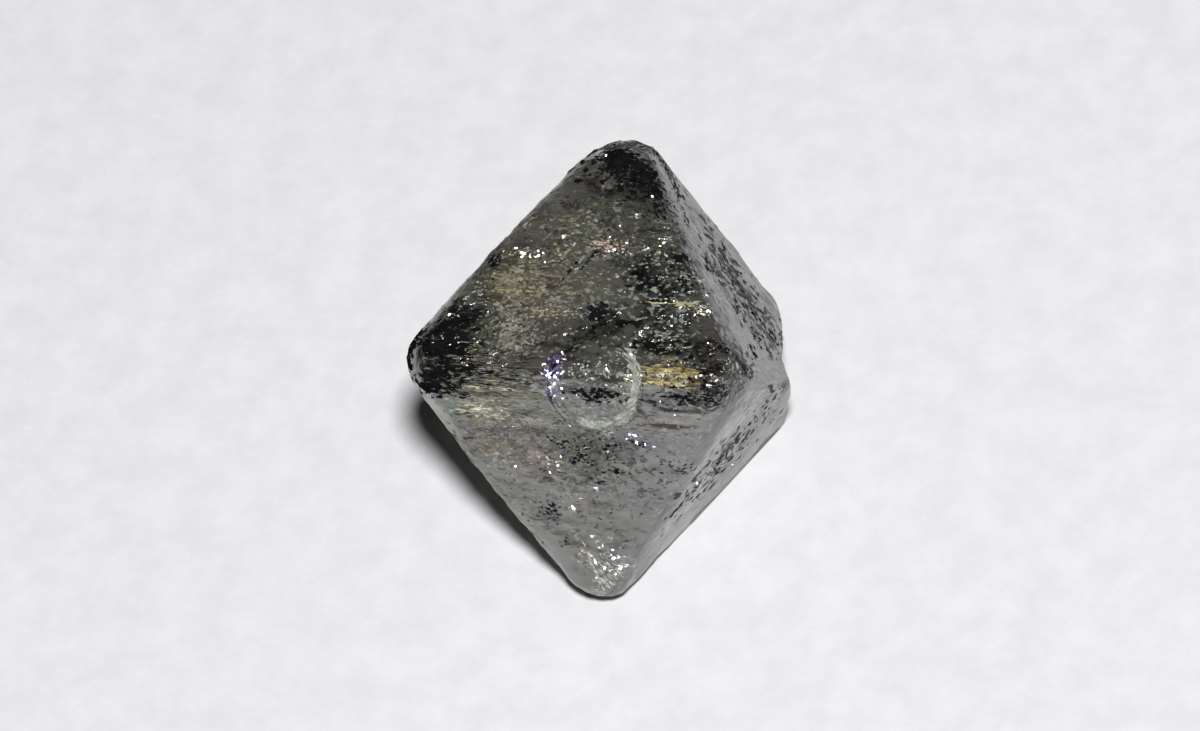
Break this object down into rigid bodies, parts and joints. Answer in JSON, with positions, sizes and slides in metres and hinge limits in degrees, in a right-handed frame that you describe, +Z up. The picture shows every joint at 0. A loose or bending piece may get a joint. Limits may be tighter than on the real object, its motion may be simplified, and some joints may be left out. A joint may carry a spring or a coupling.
{
  "type": "diamond crystal",
  "caption": "Rough octahedral diamond: a clear grey eight-faced crystal with rounded edges, growth ledges, triangular pits and one broken corner.",
  "frame": {"origin": "middle of the flat resting face, under the crystal's centre", "axes": "+Z up, square to the resting face; +Y along the level top face towards its tip corner; +X to the right of +Y seen from above"},
  "size_m": [0.004, 0.0042, 0.0034],
  "materials": {
    "diamond": "clear grey diamond, bright natural faces with fine growth lines and dark flecks"
  },
  "bodies": {
    "root": {"diamond_crystal": "diamond"}
  },
  "joints": []
}
